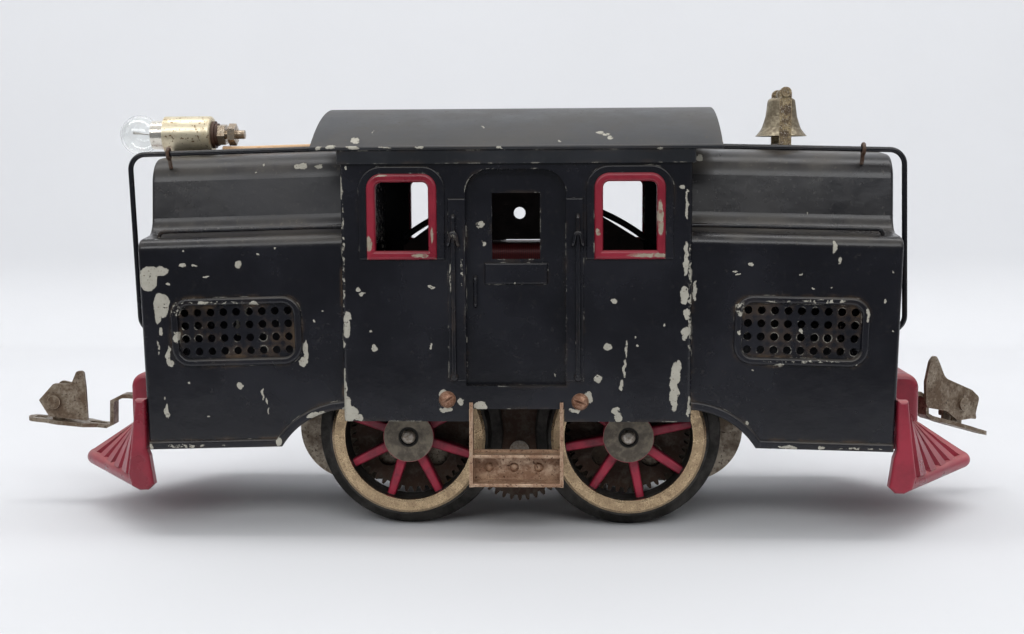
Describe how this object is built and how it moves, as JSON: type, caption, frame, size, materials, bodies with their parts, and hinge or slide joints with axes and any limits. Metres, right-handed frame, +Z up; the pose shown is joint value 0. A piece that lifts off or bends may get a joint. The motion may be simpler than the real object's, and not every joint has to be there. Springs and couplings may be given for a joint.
{
  "type": "model electric locomotive",
  "caption": "Toy centre-cab electric locomotive with sloped hoods, spoked wheels, geared motor, bell, headlamp bulb, pilots and hook couplers.",
  "frame": {"origin": "on the track plane, midway between the two axles", "axes": "+X along the locomotive towards the bell end, +Z up, -Y towards the near side"},
  "size_m": [0.3186, 0.096, 0.1332],
  "materials": {
    "body_enamel": "worn satin black enamel",
    "roof_enamel": "dusty dark grey enamel",
    "red_enamel": "chipped red enamel",
    "wheel_iron": "red enamel on the spokes, bare tread",
    "rim_brass": "satin, tarnished",
    "trim_enamel": "gloss black enamel",
    "rusty_steel": "rusty",
    "copper_screws": "rusty plated",
    "aged_brass": "tarnished",
    "socket_brass": "satin",
    "nickel": "dull nickel",
    "bulb_glass": "clear",
    "fibre": "vulcanised fibre",
    "wire_cloth": "woven insulation",
    "bell_brass": "dull",
    "coupler_bronze": "tarnished",
    "steel": "oiled",
    "gear_steel": "rusty, oiled",
    "plate_zinc": "mottled plate",
    "lamination": "stacked sheet",
    "coil_winding": "varnished winding",
    "copper_wire": "enamelled copper",
    "carbon": "carbon",
    "black_lead": "insulated lead"
  },
  "bodies": {
    "locomotive": {"bell_bracket": "bell_brass", "brush_holder": "fibre", "brushes": "carbon", "bulb_cap": "nickel", "bulb_globe": "bulb_glass", "cab_screws": "copper_screws", "cab_shell": "body_enamel", "coupler_pins": "coupler_bronze", "door_handles": "trim_enamel", "door_rails": "trim_enamel", "field_coil": "coil_winding", "field_core": "lamination", "field_lead": "black_lead", "handrails": "trim_enamel", "hood_left": "body_enamel", "hood_right": "body_enamel", "lamp_nuts": "nickel", "lamp_socket": "socket_brass", "lamp_washers": "fibre", "lamp_wire": "wire_cloth", "motor_plate_far": "plate_zinc", "motor_plate_near": "plate_zinc", "motor_spacer_set": "steel", "mount_brackets": "plate_zinc", "pickup_base": "fibre", "pilot_left": "red_enamel", "pilot_right": "red_enamel", "roof": "roof_enamel", "side_rods": "trim_enamel", "stanchions": "rusty_steel", "step_far": "aged_brass", "step_near": "aged_brass", "step_rivets": "aged_brass", "terminal_board": "fibre", "window_frames": "red_enamel"},
    "axle_set_left": {"axle_left": "steel", "wheel_near_left": "wheel_iron", "wheel_far_left": "wheel_iron", "rims_left": "rim_brass", "axle_gear_left": "gear_steel"},
    "axle_set_right": {"axle_right": "steel", "wheel_near_right": "wheel_iron", "wheel_far_right": "wheel_iron", "rims_right": "rim_brass", "axle_gear_right": "gear_steel"},
    "idler": {"idler_gear": "gear_steel"},
    "armature": {"armature_spindle": "steel", "armature_core": "lamination", "armature_windings": "copper_wire", "commutator": "copper_wire"},
    "hook_left": {"coupler_left_bar": "coupler_bronze"},
    "latch_left": {"coupler_left_latch": "coupler_bronze"},
    "hook_right": {"coupler_right_bar": "coupler_bronze"},
    "latch_right": {"coupler_right_latch": "coupler_bronze"},
    "bell_body": {"bell": "bell_brass"},
    "clapper": {"bell_clapper": "rusty_steel"},
    "arm_left": {"pickup_arm_left": "aged_brass"},
    "roller_left": {"pickup_roller_left": "steel"},
    "arm_right": {"pickup_arm_right": "aged_brass"},
    "roller_right": {"pickup_roller_right": "steel"}
  },
  "joints": [
    {"name": "axle_left_spin", "type": "hinge", "parent": "locomotive", "child": "axle_set_left", "pos_m": [-0.0331, 0, 0.0282], "axis": [0, 1, 0], "continuous": true},
    {"name": "axle_right_spin", "type": "hinge", "parent": "locomotive", "child": "axle_set_right", "pos_m": [0.0331, 0, 0.0282], "axis": [0, 1, 0], "continuous": true},
    {"name": "idler_spin", "type": "hinge", "parent": "locomotive", "child": "idler", "pos_m": [0, -0.0219, 0.02243], "axis": [0, 1, 0], "continuous": true},
    {"name": "armature_spin", "type": "hinge", "parent": "locomotive", "child": "armature", "pos_m": [0, 0, 0.04322], "axis": [0, 1, 0], "continuous": true},
    {"name": "coupler_left_swing", "type": "hinge", "parent": "locomotive", "child": "hook_left", "pos_m": [-0.1154, 0, 0.0354], "axis": [0, 0, 1], "range_deg": [-35, 35]},
    {"name": "coupler_left_lift", "type": "hinge", "parent": "hook_left", "child": "latch_left", "pos_m": [-0.1528, 0, 0.0338], "axis": [0, -1, 0], "range_deg": [0, 16]},
    {"name": "coupler_right_swing", "type": "hinge", "parent": "locomotive", "child": "hook_right", "pos_m": [0.1154, 0, 0.0354], "axis": [0, 0, 1], "range_deg": [-68, 2]},
    {"name": "coupler_right_lift", "type": "hinge", "parent": "hook_right", "child": "latch_right", "pos_m": [0.14274, 0.01775, 0.0308], "axis": [-0.5446, 0.8387, 0], "range_deg": [0, 16]},
    {"name": "bell_swing", "type": "hinge", "parent": "locomotive", "child": "bell_body", "pos_m": [0.082, 0, 0.1314], "axis": [0, 1, 0], "range_deg": [-40, 40]},
    {"name": "clapper_swing", "type": "hinge", "parent": "bell_body", "child": "clapper", "pos_m": [0.082, 0, 0.1274], "axis": [0, 1, 0], "range_deg": [-16, 16]},
    {"name": "pickup_left_dip", "type": "hinge", "parent": "locomotive", "child": "arm_left", "pos_m": [-0.0105, 0, 0.0098], "axis": [0, 1, 0], "range_deg": [-8, 6], "stiffness_Nm_per_rad": 0.02},
    {"name": "pickup_left_roll", "type": "hinge", "parent": "arm_left", "child": "roller_left", "pos_m": [-0.0241, 0, 0.0072], "axis": [0, 1, 0], "continuous": true},
    {"name": "pickup_right_dip", "type": "hinge", "parent": "locomotive", "child": "arm_right", "pos_m": [0.0105, 0, 0.0098], "axis": [0, 1, 0], "range_deg": [-6, 8], "stiffness_Nm_per_rad": 0.02},
    {"name": "pickup_right_roll", "type": "hinge", "parent": "arm_right", "child": "roller_right", "pos_m": [0.0241, 0, 0.0072], "axis": [0, 1, 0], "continuous": true}
  ],
  "couplings": [
    {"joint": "axle_right_spin", "follows": "axle_left_spin", "ratio": 1},
    {"joint": "idler_spin", "follows": "axle_left_spin", "ratio": -1.2105},
    {"joint": "armature_spin", "follows": "axle_left_spin", "ratio": 3.2857}
  ]
}
